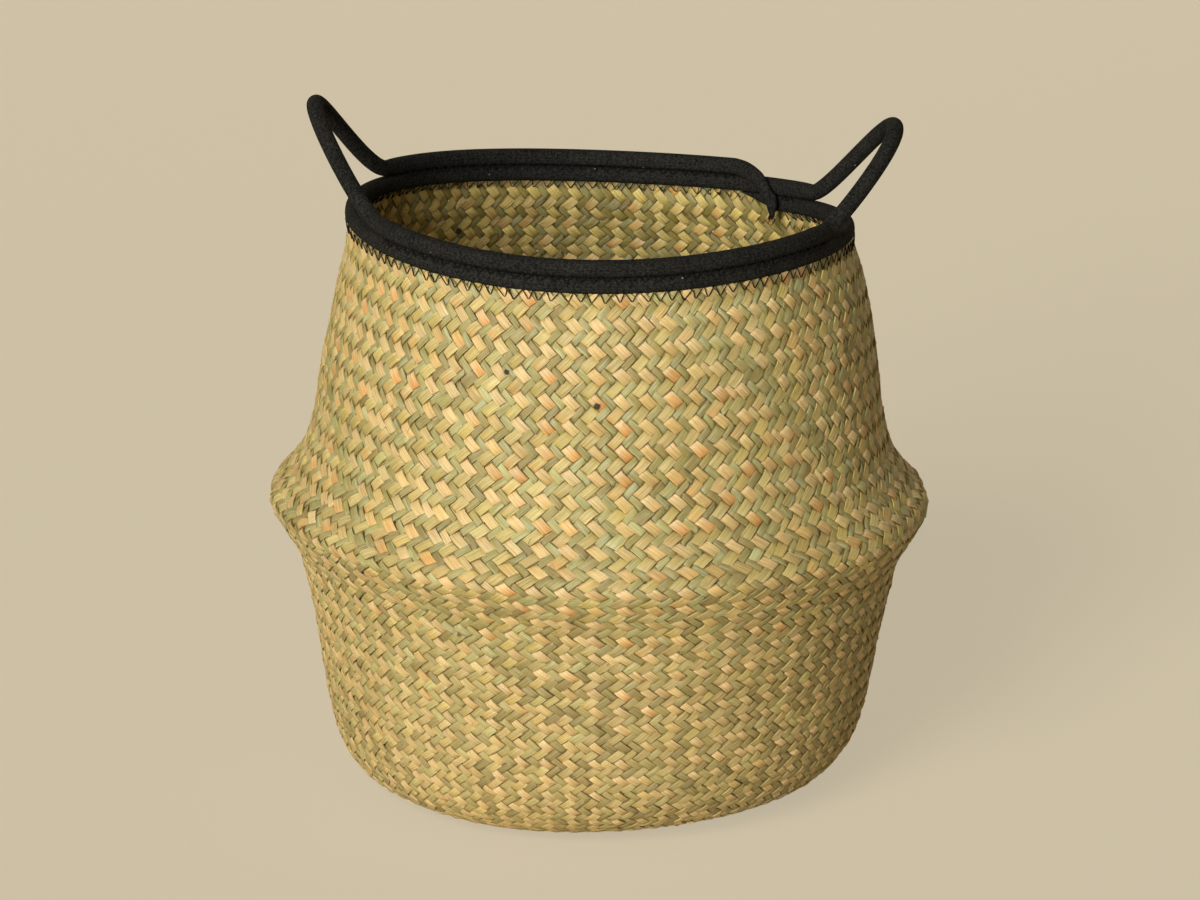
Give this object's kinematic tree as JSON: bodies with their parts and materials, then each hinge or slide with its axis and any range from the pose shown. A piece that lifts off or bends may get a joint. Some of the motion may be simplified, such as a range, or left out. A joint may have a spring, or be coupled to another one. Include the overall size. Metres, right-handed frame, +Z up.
{
  "type": "belly basket",
  "caption": "Woven seagrass belly basket with a round folded belly, an open top, a sewn black cord rim and leaning cord handles.",
  "frame": {"origin": "middle of the flat woven base, on the surface the basket stands on", "axes": "+Z up through the open top, handles at -X and +X, -Y toward the viewer of the picture"},
  "size_m": [0.32, 0.32, 0.3399],
  "materials": {
    "seagrass": "dry woven plant strips, matt",
    "black_cotton": "knitted cotton cord, matt",
    "black_thread": "sewing thread, dull"
  },
  "bodies": {
    "lower_body": {"woven_base": "seagrass", "lower_wall": "seagrass", "belly_fold": "seagrass"},
    "upper_body": {"upper_wall": "seagrass", "first_turn_cord": "black_cotton", "front_run_cord": "black_cotton", "back_run_cord": "black_cotton", "edge_seam_outer": "black_thread", "edge_seam_inner": "black_thread", "right_round_seam_outer": "black_thread", "right_round_seam_inner": "black_thread", "front_round_seam_outer": "black_thread", "front_round_seam_inner": "black_thread", "back_round_seam_outer": "black_thread", "back_round_seam_inner": "black_thread"},
    "left_handle_body": {"left_handle": "black_cotton"},
    "right_handle_body": {"right_handle": "black_cotton"}
  },
  "joints": [
    {"name": "belly_fold_press", "type": "slide", "parent": "lower_body", "child": "upper_body", "axis": [0, 0, 1], "range_m": [-0.03, 0.008], "deforming": ["belly_fold"]},
    {"name": "left_handle_swing", "type": "hinge", "parent": "upper_body", "child": "left_handle_body", "pos_m": [-0.10358, 0, 0.2909], "axis": [0, 1, -0.0073], "range_deg": [-22, 125]},
    {"name": "right_handle_swing", "type": "hinge", "parent": "upper_body", "child": "right_handle_body", "pos_m": [0.10473, 0.00219, 0.28246], "axis": [-0.0209, 0.9967, -0.079], "range_deg": [-125, 27]}
  ]
}
